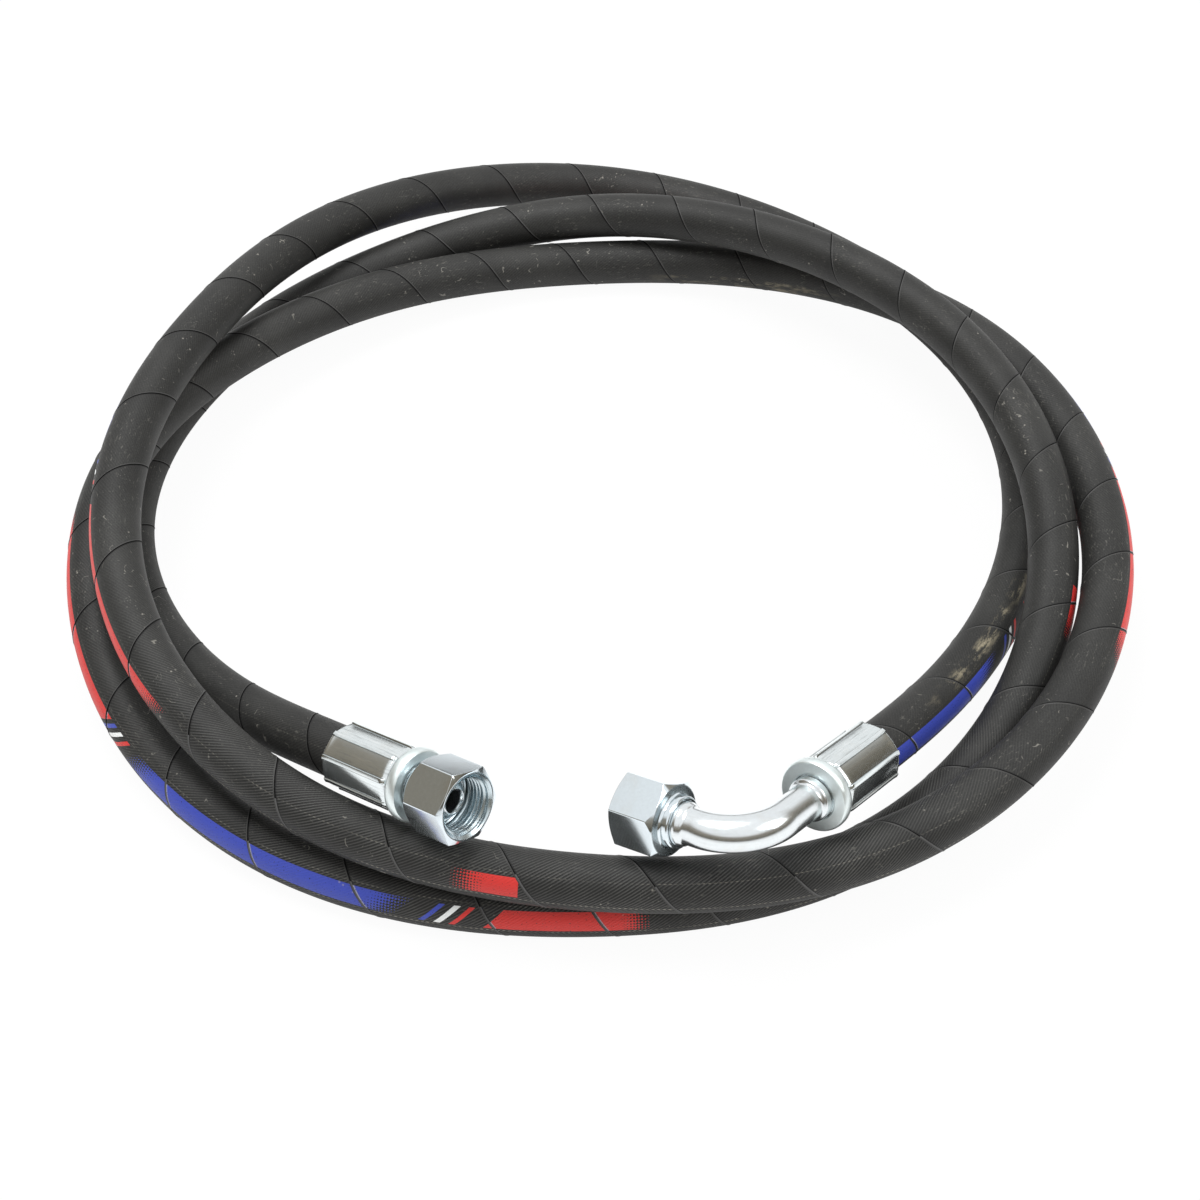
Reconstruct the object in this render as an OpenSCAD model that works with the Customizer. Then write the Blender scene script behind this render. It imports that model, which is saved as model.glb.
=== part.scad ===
// Two-wire-braid hydraulic hose assembly, size 3/8 inch: a coiled hose with a straight swivel
// fitting on one end and a 90 degree elbow swivel fitting on the other. Millimetres, +Z up.
// The origin is the middle of the coil's box on the surface that the coil lies on.

/* [Hose] */
// Outer diameter of the rubber cover
hose_od = 18.6; // [18.4:0.1:18.8]
// Diameter over the outer wire braid
outer_braid_od = 14.4; // [14.2:0.1:14.6]
// Diameter over the rubber layer between the braids
interlayer_od = 13.4; // [13.2:0.1:13.6]
// Diameter over the inner wire braid
inner_braid_od = 12.8; // [12.6:0.1:13]
// Diameter over the inner tube
inner_tube_od = 11.8; // [11.6:0.1:12]
// Bore of the hose
hose_bore = 9.5; // [9.3:0.1:9.7]

/* [Swivel nuts] */
// Width across the flats
nut_flats = 24; // [23.8:0.1:24]
// Length of the hexagon
nut_length = 17.5; // [17:0.5:18]
// Nominal diameter of the female metric fine thread, which has a pitch of 1.5
thread_d = 20; // [19.8:0.1:20]
// Length of the threaded wall in front of the ball nose
thread_length = 5.1; // [4.8:0.1:5.1]
// Diameter of the countersink at the mouth
mouth_d = 22; // [21.6:0.1:22.4]
// Length of the skirt that is swaged in behind the hexagon
skirt_length = 3.4; // [3:0.1:3.4]

/* [Nipples] */
// Bore of the nipples
nipple_bore = 7.2; // [6.4:0.1:7.4]
// Diameter of the neck that the nut turns on
neck_d = 14.8; // [14.6:0.1:15]
// Radial clearance between the neck and the nut
running_clearance = 0.08; // [0.05:0.01:0.1]
// Diameter of the head behind the ball nose
head_d = 17.8; // [17.4:0.1:17.8]
// Diameter of the bent tube
tube_d = 12.5; // [12:0.1:13]
// Centreline radius of the bend
bend_r = 19; // [18:0.5:19]

/* [Ferrules] */
// Length of a ferrule from its mouth to its front face
ferrule_length = 36; // [35.6:0.1:36.4]
// Diameter of the round collar at the front
collar_d = 25.4; // [24.6:0.1:25.6]
// Diameter across the pressed flats
crimp_d = 22.2; // [21.8:0.1:22.4]
// How far the ridges between the pressed flats stand out
ridge_height = 0.6; // [0.3:0.1:0.7]
// Number of pressed flats
crimps = 8; // [8:1:8]

/* [Hidden] */
$fn = 96;

// ---- Route of the hose
// The turns run clockwise seen from above. A key every 30 degrees gives the distance from the coil's
// middle and the lift above a strand that lies on the surface, and a smooth curve follows the keys.
coil_middle = [-2, -20, 0];
first_turn = -60;
key_step = 30;
reach = [
    176, 146, 155.5, 184, 185, 184, 175, 161, 163, 172, 177, 176,
    166, 180, 191, 189, 168, 159, 159, 172, 182, 193, 195, 185.5,
    169, 171.5, 178.5, 176, 171, 202, 221, 198, 188, 167, 148, 156.5, 199.5,
];
lift = [
    41.5, 35, 0, 0, 0, 0, 19, 31, 35, 28, 8, 0,
    0, 0, 2, 24.5, 16, 8, 0, 6, 22.5, 21, 22, 16.5,
    20, 18, 31.5, 39.5, 38.5, 21, 0, 0, 0, 0, 4, 35.5, 54,
];
last_key = len(reach) - 3;
straight_from = 0.25;
resting_flat = hose_od / 10;
lying = hose_od / 2 - resting_flat;

// Each ring but the end ones stands at a multiple of 15 degrees, so strands side by side stay parallel.
ring_step = 0.5;
ring_places = [
    straight_from,
    for (s = [ring_step:ring_step:last_key - ring_step]) s,
    last_key - straight_from,
];

function unit(v) = v / norm(v);
function bend_weights(t) = [
    pow(1 - t, 3),
    3 * pow(t, 3) - 6 * pow(t, 2) + 4,
    -3 * pow(t, 3) + 3 * pow(t, 2) + 3 * t + 1,
    pow(t, 3),
] / 6;
function along(keys, s) =
    let (i = min(floor(s), last_key - 1))
    [keys[i], keys[i + 1], keys[i + 2], keys[i + 3]] * bend_weights(s - i);
function place(s) =
    let (turn = first_turn + key_step * s, r = along(reach, s))
    coil_middle + [-r * cos(turn), r * sin(turn), lying + along(lift, s)];
function heading(s) =
    let (d = 0.0005)
    unit(place(s + d) - place(s - d));

// ---- Where the two fittings sit
straight_to_mouth = 13;
elbow_to_mouth = 2;
hose_in_ferrule = 27;
straight_axis = -heading(straight_from);
elbow_axis = heading(last_key - straight_from);
straight_mouth = place(straight_from) + straight_to_mouth * straight_axis;
elbow_mouth = place(last_key - straight_from) + elbow_to_mouth * elbow_axis;

// Turns z to a direction, then moves to a point. The roll turns about the direction first.
module stand(point, direction, roll = 0) {
    translate(point)
        rotate([0, acos(direction[2]), atan2(direction[1], direction[0])])
            rotate([0, 0, roll])
                children();
}

// ---- Hose layers: tubes swept along the route
centres = [
    straight_mouth + hose_in_ferrule * straight_axis,
    for (s = ring_places) place(s),
    elbow_mouth + hose_in_ferrule * elbow_axis,
];
last_ring = len(centres) - 1;
ring_ways = [
    -straight_axis,
    for (i = [1:last_ring - 1])
        unit(unit(centres[i] - centres[i - 1]) + unit(centres[i + 1] - centres[i])),
    elbow_axis,
];
cover_sides = 8;
layer_sides = 6;

function above_surface(p) = [p[0], p[1], max(p[2], 0)];
function ring(i, d, sides) =
    let (across = unit(cross(ring_ways[i], [0, 0, 1])), up = cross(across, ring_ways[i]))
    [
        for (k = [0:sides - 1])
            let (a = 360 * (k + 0.5) / sides)
            above_surface(centres[i] + d / 2 * (cos(a) * across + sin(a) * up)),
    ];
function wall_faces(first, sides, out) = [
    for (i = [0:last_ring - 1], k = [0:sides - 1], half = [0, 1])
        let (
            a = first + i * sides + k,
            b = first + i * sides + (k + 1) % sides,
            c = b + sides,
            d = a + sides,
            face = half == 0 ? [a, b, c] : [a, c, d]
        )
        out ? face : [face[2], face[1], face[0]],
];
// The two outlines of an end may have different counts, so the cap is a fan that walks both at once.
function end_faces(outer, outer_sides, inner, inner_sides, front) = [
    for (k = [0:outer_sides - 1])
        let (
            a = outer + k,
            b = outer + (k + 1) % outer_sides,
            c = inner + round(k * inner_sides / outer_sides) % inner_sides
        )
        front ? [a, b, c] : [c, b, a],
    for (k = [0:outer_sides - 1])
        let (
            b = outer + (k + 1) % outer_sides,
            c = round(k * inner_sides / outer_sides),
            d = round((k + 1) * inner_sides / outer_sides)
        )
        if (c != d)
            front
                ? [b, inner + d % inner_sides, inner + c % inner_sides]
                : [inner + c % inner_sides, inner + d % inner_sides, b],
];
module hose_layer(outer_d, outer_sides, inner_d, inner_sides) {
    rings = last_ring + 1;
    outer_end = last_ring * outer_sides;
    inner_start = rings * outer_sides;
    inner_end = inner_start + last_ring * inner_sides;
    polyhedron(
        points = [
            for (i = [0:last_ring]) each ring(i, outer_d, outer_sides),
            for (i = [0:last_ring]) each ring(i, inner_d, inner_sides),
        ],
        faces = concat(
            wall_faces(0, outer_sides, true),
            wall_faces(inner_start, inner_sides, false),
            end_faces(0, outer_sides, inner_start, inner_sides, false),
            end_faces(outer_end, outer_sides, inner_end, inner_sides, true)
        )
    );
}

// The least gap between strands, from points along the rings' centrelines.
gap_points = [
    for (i = [1:last_ring - 2], t = [0:0.25:0.75])
        [centres[i] + t * (centres[i + 1] - centres[i]), i + t],
];
turn_apart = 8;
least_gap = min([
    for (a = gap_points, b = gap_points)
        if (b[1] - a[1] > turn_apart) norm(b[0] - a[0]),
]) - hose_od;
echo("Least gap between strands, mm:", least_gap);
echo("Straight end: mouth and axis", straight_mouth, straight_axis);
echo("Elbow end: mouth and axis", elbow_mouth, elbow_axis);

module outer_cover() {
    color([0.07, 0.07, 0.075])
        hose_layer(hose_od, cover_sides, outer_braid_od, layer_sides);
}
module outer_wire_braid() {
    color([0.62, 0.6, 0.52])
        hose_layer(outer_braid_od, layer_sides, interlayer_od, layer_sides);
}
module braid_interlayer() {
    color([0.16, 0.15, 0.14])
        hose_layer(interlayer_od, layer_sides, inner_braid_od, layer_sides);
}
module inner_wire_braid() {
    color([0.62, 0.6, 0.52])
        hose_layer(inner_braid_od, layer_sides, inner_tube_od, layer_sides);
}
module inner_tube() {
    color([0.1, 0.1, 0.1])
        hose_layer(inner_tube_od, layer_sides, hose_bore, layer_sides);
}

// ---- Ferrules, standing on their mouths
zinc = [0.76, 0.79, 0.82];
ferrule_bore = hose_od - 0.6;
crimp_end = 30;
neck_end = 31.6;
collar_round = 1.6;
lock_d = 12.6;
inner_step = 29.5;

// Pressed body's outline: a slightly domed flat per die, and a flat-topped ridge left between two dies.
ridge_half_angle = 4.3;
ridge_top_angle = 3.2;
die_angle = 360 / crimps - 2 * ridge_half_angle;
die_dip = 0.3;
crimp_outline = [
    for (k = [0:crimps - 1])
        let (start = 360 * k / crimps, top = crimp_d / 2 + ridge_height)
        each [
            top * [cos(start - ridge_top_angle), sin(start - ridge_top_angle)],
            top * [cos(start + ridge_top_angle), sin(start + ridge_top_angle)],
            for (t = [0:0.25:1])
                let (a = start + ridge_half_angle + t * die_angle)
                (crimp_d / 2 - 4 * die_dip * t * (1 - t)) * [cos(a), sin(a)],
        ],
];
module ferrule() {
    difference() {
        union() {
            // Mouth, flared a little by the press
            rotate_extrude()
                polygon([
                    [0, 0],
                    [crimp_d / 2 + 0.1, 0],
                    [crimp_d / 2 + 0.3, 0.4],
                    [crimp_d / 2 - 0.4, 2.6],
                    [0, 2.6],
                ]);
            linear_extrude(crimp_end)
                polygon(crimp_outline);
            // Neck drawn in over the nipple's locking groove, and the round collar in front of it
            rotate_extrude()
                polygon([
                    [0, crimp_end - 1],
                    [crimp_d / 2 - 0.5, crimp_end - 1],
                    [crimp_d / 2 - 0.5, crimp_end],
                    [crimp_d / 2 - 1.1, crimp_end + 0.5],
                    [crimp_d / 2 - 1.1, neck_end - 0.4],
                    [collar_d / 2 - collar_round, neck_end],
                    for (a = [-75:15:75])
                        [
                            collar_d / 2 - collar_round + collar_round * cos(a),
                            (neck_end + ferrule_length) / 2
                                + ((ferrule_length - neck_end) / 2 - 0.1) * sin(a),
                        ],
                    [collar_d / 2 - collar_round - 0.6, ferrule_length],
                    [0, ferrule_length],
                ]);
        }
        // Room for the hose, opened out at the mouth, and the seat on the nipple's groove
        translate([0, 0, -1])
            cylinder(h = inner_step + 1, d = ferrule_bore);
        rotate_extrude()
            polygon([
                [0, -0.1],
                [hose_od / 2 + 0.5, -0.1],
                [hose_od / 2 + 0.3, 1.2],
                [ferrule_bore / 2, 4],
                [0, 4],
            ]);
        cylinder(h = ferrule_length + 1, d = lock_d);
    }
}

// ---- Nipples
tail_start = 3;
tail_d = 8.6;
barb_height = 0.35;
barbs = 5;
barb_pitch = 4.4;
barb_start = 5;
shoulder_d = 15.2;
shoulder_length = 3.5;
shoulder_chamfer = 0.6;

// Outline of the tail in the hose and of the part that the ferrule is locked onto
tail_outline = [
    [0, tail_start],
    [tail_d / 2 - 0.4, tail_start],
    [tail_d / 2, tail_start + 1],
    for (k = [0:barbs - 1])
        let (z = barb_start + k * barb_pitch)
        each [
            [tail_d / 2, z],
            [tail_d / 2 + barb_height, z + barb_pitch * 0.75],
            [tail_d / 2, z + barb_pitch * 0.8],
        ],
    [tail_d / 2, inner_step],
    [lock_d / 2, inner_step],
    [lock_d / 2, ferrule_length],
];

// Head, measured back from the plane of the nut's mouth
head_back = 13.8;
head_slope = (head_d - neck_d) / 2;
head_land = 1.5;
nose_r = 8.2;
nose_back = 6.2;
nose_flare = 1.4;
function head_outline(mouth) = [
    [neck_d / 2, mouth - head_back],
    [head_d / 2, mouth - head_back + head_slope],
    [head_d / 2, mouth - head_back + head_slope + head_land],
    for (a = [18:8:58])
        [nose_r * cos(a), mouth - nose_back - nose_r * sin(58) + nose_r * sin(a)],
    [0, mouth - nose_back],
];
module nose_bore(mouth) {
    translate([0, 0, mouth - nose_back - nose_flare])
        cylinder(h = nose_flare + 0.01, d1 = nipple_bore, d2 = nipple_bore + 1.2);
}

nut_mouth = 57.7;
module straight_nipple_body() {
    difference() {
        rotate_extrude()
            polygon(concat(
                tail_outline,
                [[neck_d / 2, ferrule_length]],
                head_outline(nut_mouth)
            ));
        cylinder(h = nut_mouth, d = nipple_bore);
        nose_bore(nut_mouth);
    }
}

// The elbow's nipple stands in the same place; its bend starts at the top of the first straight.
corner = 72.8;
elbow_nut_mouth = 46.3;
collar_gap = 2;
elbow_roll = -71.3;
module bent_tube(d) {
    translate([bend_r, 0, corner - bend_r])
        rotate([90, 0, 0])
            rotate([0, 0, 90])
                rotate_extrude(angle = 90)
                    translate([bend_r, 0])
                        circle(d = d);
}
module second_leg() {
    translate([0, 0, corner])
        rotate([0, 90, 0])
            children();
}
module elbow_nipple_body() {
    leg_end = elbow_nut_mouth - nut_length - skirt_length - collar_gap;
    difference() {
        union() {
            rotate_extrude()
                polygon(concat(
                    tail_outline,
                    [
                        [shoulder_d / 2 - shoulder_chamfer, ferrule_length],
                        [shoulder_d / 2, ferrule_length + shoulder_chamfer],
                        [shoulder_d / 2, ferrule_length + shoulder_length - shoulder_chamfer],
                        [shoulder_d / 2 - shoulder_chamfer, ferrule_length + shoulder_length],
                        [0, ferrule_length + shoulder_length],
                    ]
                ));
            translate([0, 0, ferrule_length])
                cylinder(h = corner - bend_r - ferrule_length, d = tube_d);
            bent_tube(tube_d);
            second_leg()
                translate([0, 0, bend_r])
                    cylinder(h = leg_end - bend_r + 1, d = tube_d);
            second_leg()
                rotate_extrude()
                    polygon(concat(
                        [
                            [0, leg_end],
                            [neck_d / 2 - 0.5, leg_end],
                            [neck_d / 2, leg_end + 0.5],
                        ],
                        head_outline(elbow_nut_mouth)
                    ));
        }
        cylinder(h = corner - bend_r, d = nipple_bore);
        bent_tube(nipple_bore);
        second_leg() {
            translate([0, 0, bend_r])
                cylinder(h = elbow_nut_mouth, d = nipple_bore);
            nose_bore(elbow_nut_mouth);
        }
    }
}

// ---- Swivel nut, its mouth at the given height
corner_chamfer = 2.2;
seat_gap = 0.35;
relief_d = thread_d + 0.4;
module swivel_nut(mouth) {
    seat = mouth - head_back - seat_gap + running_clearance;
    neck_bore = neck_d + 2 * running_clearance;
    back = mouth - nut_length;
    round_d = nut_flats + 0.4;
    mouth_chamfer = (mouth_d - thread_d) / 2;
    relief_start = seat + (relief_d - neck_bore) / 2;
    difference() {
        union() {
            intersection() {
                translate([0, 0, back])
                    cylinder(h = nut_length, d = nut_flats / cos(30), $fn = 6);
                // Chamfered corners at the front and the longer turned cone at the rear
                rotate_extrude()
                    polygon([
                        [0, back],
                        [round_d / 2 - 0.4, back],
                        [nut_flats / 2 / cos(30) + 0.2, back + corner_chamfer],
                        [nut_flats / 2 / cos(30) + 0.2, mouth - corner_chamfer / 2],
                        [round_d / 2 - 0.6, mouth],
                        [0, mouth],
                    ]);
            }
            // Skirt swaged in behind the nipple's head
            rotate_extrude()
                polygon([
                    [0, back - skirt_length],
                    [neck_bore / 2 + 0.9, back - skirt_length],
                    [neck_bore / 2 + 1.4, back - skirt_length + 0.5],
                    [neck_bore / 2 + 1.4, back - skirt_length + 1.2],
                    [round_d / 2 - 1.2, back + 0.01],
                    [0, back + 0.01],
                ]);
        }
        translate([0, 0, back - skirt_length - 1])
            cylinder(h = nut_length, d = neck_bore);
        // Seat that the nipple's head pulls against, the relief round the head, the threaded wall
        // and the mouth
        translate([0, 0, seat])
            cylinder(h = (relief_d - neck_bore) / 2, d1 = neck_bore, d2 = relief_d);
        translate([0, 0, relief_start])
            cylinder(h = mouth - mouth_chamfer - thread_length - relief_start, d = relief_d);
        translate([0, 0, mouth - mouth_chamfer - thread_length - 0.01])
            cylinder(h = thread_length + 0.02, d = thread_d);
        translate([0, 0, mouth - mouth_chamfer])
            cylinder(h = mouth_chamfer + 0.01, d1 = thread_d, d2 = mouth_d);
    }
}

straight_ferrule_roll = 5;
elbow_ferrule_roll = -8;
straight_nut_roll = 2;
elbow_nut_roll = 21;

module straight_nipple() {
    color(zinc)
        stand(straight_mouth, straight_axis)
            straight_nipple_body();
}
module straight_ferrule() {
    color(zinc)
        stand(straight_mouth, straight_axis, straight_ferrule_roll)
            ferrule();
}
module straight_swivel_nut() {
    color(zinc)
        stand(straight_mouth, straight_axis, straight_nut_roll)
            swivel_nut(nut_mouth);
}
module elbow_nipple() {
    color(zinc)
        stand(elbow_mouth, elbow_axis, elbow_roll)
            elbow_nipple_body();
}
module elbow_ferrule() {
    color(zinc)
        stand(elbow_mouth, elbow_axis, elbow_ferrule_roll)
            ferrule();
}
module elbow_swivel_nut() {
    color(zinc)
        stand(elbow_mouth, elbow_axis, elbow_roll)
            second_leg()
                rotate([0, 0, elbow_nut_roll])
                    swivel_nut(elbow_nut_mouth);
}

outer_cover();
outer_wire_braid();
braid_interlayer();
inner_wire_braid();
inner_tube();
straight_nipple();
straight_ferrule();
straight_swivel_nut();
elbow_nipple();
elbow_ferrule();
elbow_swivel_nut();
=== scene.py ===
import math

import bpy
import numpy as np
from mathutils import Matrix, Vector


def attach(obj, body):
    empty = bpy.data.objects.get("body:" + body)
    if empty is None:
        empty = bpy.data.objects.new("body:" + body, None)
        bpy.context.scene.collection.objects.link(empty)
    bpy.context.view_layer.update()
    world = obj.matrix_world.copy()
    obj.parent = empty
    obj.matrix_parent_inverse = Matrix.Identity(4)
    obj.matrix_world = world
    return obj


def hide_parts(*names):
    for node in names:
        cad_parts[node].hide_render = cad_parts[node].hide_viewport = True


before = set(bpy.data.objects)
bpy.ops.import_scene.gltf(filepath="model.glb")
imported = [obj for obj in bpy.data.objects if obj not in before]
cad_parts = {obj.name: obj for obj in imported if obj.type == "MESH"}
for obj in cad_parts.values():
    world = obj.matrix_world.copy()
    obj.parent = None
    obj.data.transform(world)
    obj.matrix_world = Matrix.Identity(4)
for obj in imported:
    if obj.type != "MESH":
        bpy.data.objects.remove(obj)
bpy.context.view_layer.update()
MM = 0.001


# ---------------------------------------------------------------- camera
# Fitted to the photo by the hose's width along its strands and by both fittings
SENSOR_MM, LENS_MM, FAR_CLIP = 36.0, 61.44, 50.0
CAMERA_AT, CAMERA_TILT = (0.00081, -0.56178, 0.58875), 41.174


def make_camera():
    data = bpy.data.cameras.new("camera")
    data.sensor_width = SENSOR_MM
    data.lens = LENS_MM
    data.clip_end = FAR_CLIP
    cam = bpy.data.objects.new("camera", data)
    cam.location = CAMERA_AT
    cam.rotation_euler = (math.radians(CAMERA_TILT), 0.0, 0.0)
    bpy.context.scene.collection.objects.link(cam)
    bpy.context.scene.camera = cam


make_camera()

# ---------------------------------------------------------------- the hose's route, as in part.scad
# Lengths are in mm up to the point where a mesh is made. REACH is how far the coil reaches from its middle,
# and LIFT how high the hose lies, at one key each KEY_STEP degrees.
HOSE_R = 9.3
COIL_MIDDLE = np.array([-2.0, -20.0, 0.0])
FIRST_TURN, KEY_STEP = -60.0, 30.0
REACH = [
    176, 146, 155.5, 184, 185, 184, 175, 161, 163, 172, 177, 176,
    166, 180, 191, 189, 168, 159, 159, 172, 182, 193, 195, 185.5,
    169, 171.5, 178.5, 176, 171, 202, 221, 198, 188, 167, 148, 156.5, 199.5,
]
LIFT = [
    41.5, 35, 0, 0, 0, 0, 19, 31, 35, 28, 8, 0,
    0, 0, 2, 24.5, 16, 8, 0, 6, 22.5, 21, 22, 16.5,
    20, 18, 31.5, 39.5, 38.5, 21, 0, 0, 0, 0, 4, 35.5, 54,
]
LAST_KEY = len(REACH) - 3
STRAIGHT_FROM = 0.25
LYING = HOSE_R - 2 * HOSE_R / 10
STRAIGHT_TO_MOUTH, ELBOW_TO_MOUTH, HOSE_IN_FERRULE = 13.0, 2.0, 27.0


def along(keys, s):
    """Uniform cubic B-spline with the keys as its control points, at key number s."""
    i = int(min(math.floor(s), LAST_KEY - 1))
    t = s - i
    w = np.array([(1 - t) ** 3, 3 * t**3 - 6 * t**2 + 4, -3 * t**3 + 3 * t**2 + 3 * t + 1, t**3]) / 6
    return float(np.dot(keys[i : i + 4], w))


def place(s):
    turn = math.radians(FIRST_TURN + KEY_STEP * s)
    r = along(REACH, s)
    return COIL_MIDDLE + np.array([-r * math.cos(turn), r * math.sin(turn), LYING + along(LIFT, s)])


def heading(s):
    d = place(s + 0.0005) - place(s - 0.0005)
    return d / np.linalg.norm(d)


STRAIGHT_AXIS = -heading(STRAIGHT_FROM)
ELBOW_AXIS = heading(LAST_KEY - STRAIGHT_FROM)
STRAIGHT_MOUTH = place(STRAIGHT_FROM) + STRAIGHT_TO_MOUTH * STRAIGHT_AXIS
ELBOW_MOUTH = place(LAST_KEY - STRAIGHT_FROM) + ELBOW_TO_MOUTH * ELBOW_AXIS


class Route:
    """The hose's centreline by its length in mm, with an upward and an inward direction at each point."""

    def __init__(self, step):
        pts = [STRAIGHT_MOUTH + k * STRAIGHT_AXIS for k in np.linspace(HOSE_IN_FERRULE, 0, 12)]
        pts += [place(s) for s in np.arange(STRAIGHT_FROM, LAST_KEY - STRAIGHT_FROM + 0.001, 0.02)]
        pts += [ELBOW_MOUTH + k * ELBOW_AXIS for k in np.linspace(0.5, HOSE_IN_FERRULE, 12)]
        pts = np.array(pts)
        d = np.r_[0, np.cumsum(np.linalg.norm(np.diff(pts, axis=0), axis=1))]
        self.length = d[-1]
        count = int(round(self.length / step)) + 1
        self.s = np.linspace(0, self.length, count)
        self.c = np.stack([np.interp(self.s, d, pts[:, k]) for k in range(3)], 1)
        t = np.gradient(self.c, axis=0)
        self.t = t / np.linalg.norm(t, axis=1)[:, None]
        up = np.array([0, 0, 1.0]) - self.t * self.t[:, 2:3]
        self.u = up / np.linalg.norm(up, axis=1)[:, None]
        self.v = np.cross(self.t, self.u)

    def out(self, i, phi, r):
        """Points at angle phi, in degrees from the top towards the coil's middle, r mm out from ring i."""
        a = np.radians(phi)
        p = self.c[i] + r[..., None] * (np.cos(a)[..., None] * self.u[i] + np.sin(a)[..., None] * self.v[i])
        p[..., 2] = np.maximum(p[..., 2], 0.0)
        return p


FINE = Route(1.5)
LENGTH = FINE.length

# The marks on the cover are placed by a measure of their own, in mm, which runs a little behind the cut end
HOSE_S = [0, 2129, 2264, 3217]
MARK_S = [-4.75, 2124.25, 2260.3, 3213.3]
# Angle of the middle of the printed lane along the hose, in degrees from the top
LANE_S = [
    0, 790, 1000, 1110, 1170, 1205, 1250, 1400, 1885, 1940,
    2170, 2230, 2290, 2330, 2400, 2800, 3120, 3180, 3215,
]
LANE_A = [
    -70, -71, -62, -61, -64, -72, -73, -72, -72, -69,
    -62, -65, -74, -81, -80, -75, -70, -74, -75,
]
# The cover's wrap: how many turns of the tape lie before each place. Its edge crosses the top at whole turns.
WRAP_S = [
    0, 626.9, 800, 836, 876.4, 1057.2, 1101.1, 1748.5, 1784, 1818.6, 1854.3, 1890.5, 1927.2, 1965,
    2002.4, 2043.3, 2175.5, 2218, 2261, 2299.7, 2336.5, 3066, 3100.2, 3139.6, 3181.3, 3215,
]
WRAP_N = [
    0, 17, 22, 23, 24, 29, 30, 47, 48, 49, 50, 51, 52, 53,
    54, 55, 58, 59, 60, 61, 62, 81, 82, 83, 84, 84.9,
]
# How crisp the cloth's ribs are along the hose, from 0 to 1
RIB_S = [0, 60, 820, 930, 1140, 1230, 1980, 2060, 2290, 2350, 3100, 3215]
RIB_W = [0.4, 0.15, 0.12, 1.0, 1.0, 0.25, 0.12, 1.0, 1.0, 0.15, 0.15, 0.12]


def mark_place(s):
    return np.interp(s, HOSE_S, MARK_S)


def lane(s):
    return np.interp(mark_place(s), LANE_S, LANE_A)


def wraps(s):
    return np.interp(mark_place(s), WRAP_S, WRAP_N)


def crispness(s):
    return np.interp(mark_place(s), RIB_S, RIB_W)


# ---------------------------------------------------------------- mesh helpers
def new_mesh(name, verts, faces, material, smooth_angle=None, uvs=None, slots=None):
    """verts in mm. uvs is {layer: per-corner pairs}, slots the material's number for each face."""
    mesh = bpy.data.meshes.new(name)
    mesh.from_pydata((np.asarray(verts) * MM).tolist(), [], faces)
    mesh.validate()
    for m in material if isinstance(material, (list, tuple)) else [material]:
        mesh.materials.append(m)
    for layer, data in (uvs or {}).items():
        uv = mesh.uv_layers.new(name=layer)
        uv.data.foreach_set("uv", np.asarray(data, np.float32).ravel())
    if slots is not None:
        mesh.polygons.foreach_set("material_index", np.asarray(slots, np.int32))
    mesh.polygons.foreach_set("use_smooth", np.ones(len(mesh.polygons), bool))
    if smooth_angle:
        mesh.set_sharp_from_angle(angle=math.radians(smooth_angle))
    mesh.update()
    obj = bpy.data.objects.new(name, mesh)
    bpy.context.scene.collection.objects.link(obj)
    return obj


def grid_faces(rows, cols, close_cols=False, close_rows=False):
    i, j = np.meshgrid(
        np.arange(rows if close_rows else rows - 1),
        np.arange(cols if close_cols else cols - 1),
        indexing="ij",
    )
    i, j = i.ravel(), j.ravel()
    i2, j2 = (i + 1) % rows, (j + 1) % cols
    return np.stack([i * cols + j, i * cols + j2, i2 * cols + j2, i2 * cols + j], 1)


# ---------------------------------------------------------------- shader helpers
class Sock:
    """A socket in a node tree, with arithmetic."""

    def __init__(self, tree, value):
        self.tree, self.value = tree, value

    def _math(self, op, *others, clamp=False):
        n = self.tree.nodes.new("ShaderNodeMath")
        n.operation, n.use_clamp = op, clamp
        for k, x in enumerate((self, *others)):
            if isinstance(x, Sock):
                self.tree.links.new(x.value, n.inputs[k])
            else:
                n.inputs[k].default_value = float(x)
        return Sock(self.tree, n.outputs[0])

    def __add__(self, o): return self._math("ADD", o)
    def __sub__(self, o): return self._math("SUBTRACT", o)
    def __mul__(self, o): return self._math("MULTIPLY", o)
    def __truediv__(self, o): return self._math("DIVIDE", o)
    def __gt__(self, o): return self._math("GREATER_THAN", o)
    def __lt__(self, o): return self._math("LESS_THAN", o)
    def fract(self): return self._math("FRACT")
    def absolute(self): return self._math("ABSOLUTE")
    def cosine(self): return self._math("COSINE")
    def power(self, o): return self._math("POWER", o)
    def most(self, o): return self._math("MAXIMUM", o)
    def clamped(self): return self._math("ADD", 0.0, clamp=True)

    def ramp(self, low, high, to_low=0.0, to_high=1.0, smooth=True):
        n = self.tree.nodes.new("ShaderNodeMapRange")
        n.interpolation_type = "SMOOTHSTEP" if smooth else "LINEAR"
        n.clamp = True
        self.tree.links.new(self.value, n.inputs["Value"])
        for key, x in (("From Min", low), ("From Max", high), ("To Min", to_low), ("To Max", to_high)):
            n.inputs[key].default_value = x
        return Sock(self.tree, n.outputs["Result"])


def new_material(name):
    m = bpy.data.materials.new(name)
    m.use_nodes = True
    tree = m.node_tree
    return m, tree, tree.nodes["Principled BSDF"]


def put(tree, socket, value):
    if isinstance(value, Sock):
        tree.links.new(value.value, socket)
    elif isinstance(value, (tuple, list)):
        socket.default_value = (*value, 1.0)
    else:
        socket.default_value = value


def mix(tree, a, b, fac):
    n = tree.nodes.new("ShaderNodeMix")
    n.data_type = "RGBA"
    put(tree, n.inputs[0], fac)
    put(tree, n.inputs[6], a)
    put(tree, n.inputs[7], b)
    return Sock(tree, n.outputs[2])


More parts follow.
